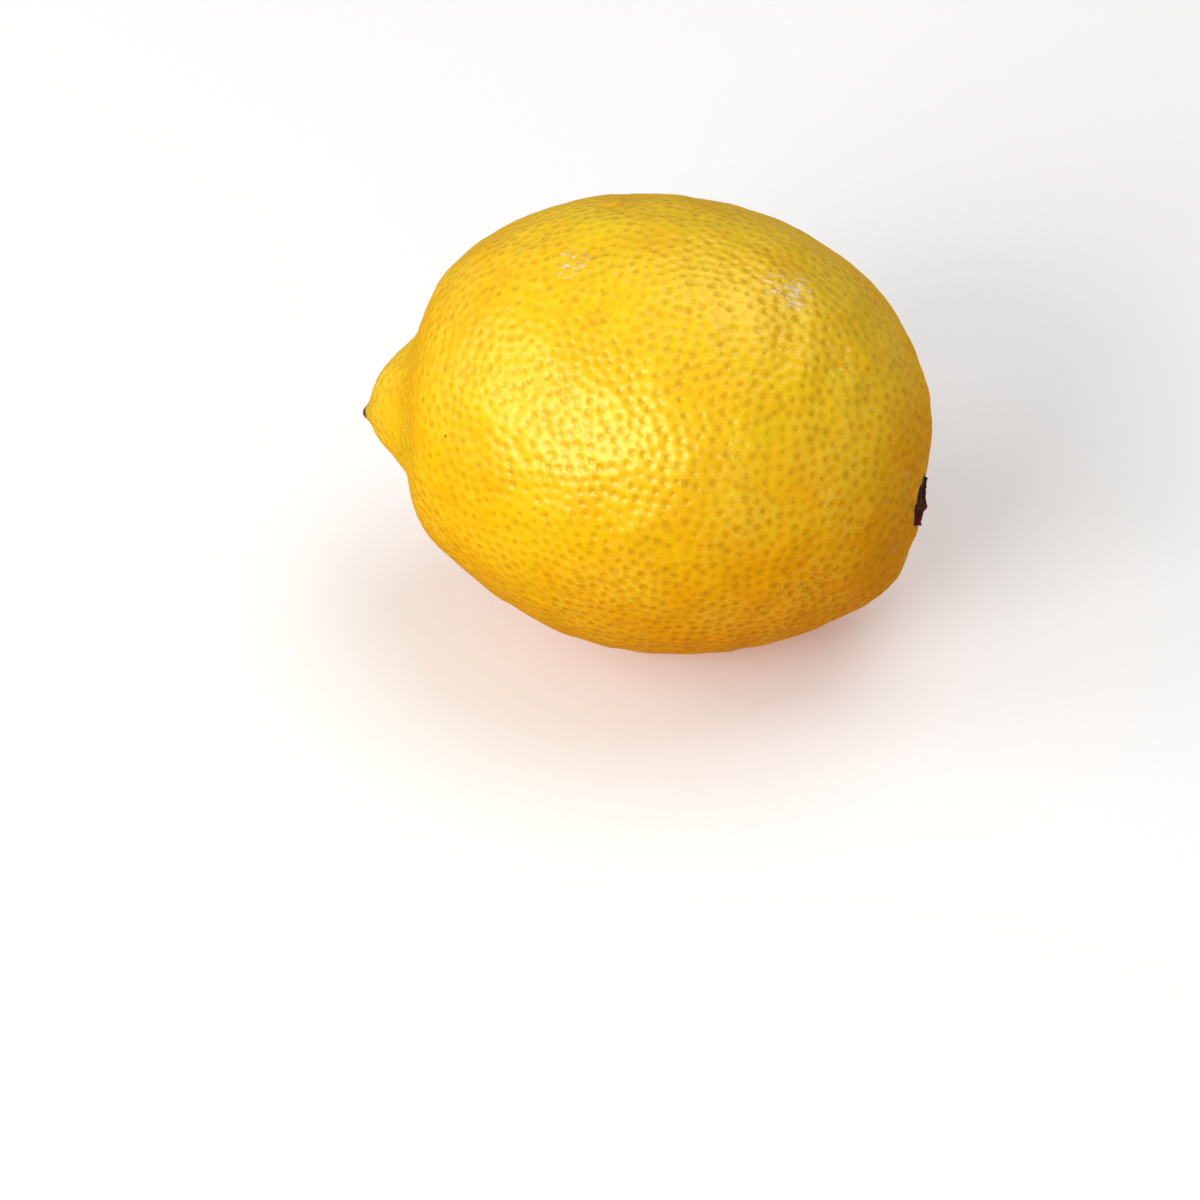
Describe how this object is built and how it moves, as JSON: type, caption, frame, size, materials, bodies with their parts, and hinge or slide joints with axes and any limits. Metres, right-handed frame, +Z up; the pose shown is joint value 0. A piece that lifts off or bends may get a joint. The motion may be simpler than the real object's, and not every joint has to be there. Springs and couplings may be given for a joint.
{
  "type": "lemon",
  "caption": "Whole fresh lemon lying on its side, with a pointed nipple at one end and a dried stem button at the other.",
  "frame": {"origin": "middle of the underside of the whole lemon's bounding box, on the surface it rests on", "axes": "+X along the fruit towards the stem button, -X towards the nipple, +Z up as it lies"},
  "size_m": [0.0786, 0.0614, 0.0608],
  "materials": {
    "rind": null,
    "calyx": null
  },
  "bodies": {
    "root": {"fruit": "rind", "stem_button": "calyx"}
  },
  "joints": []
}
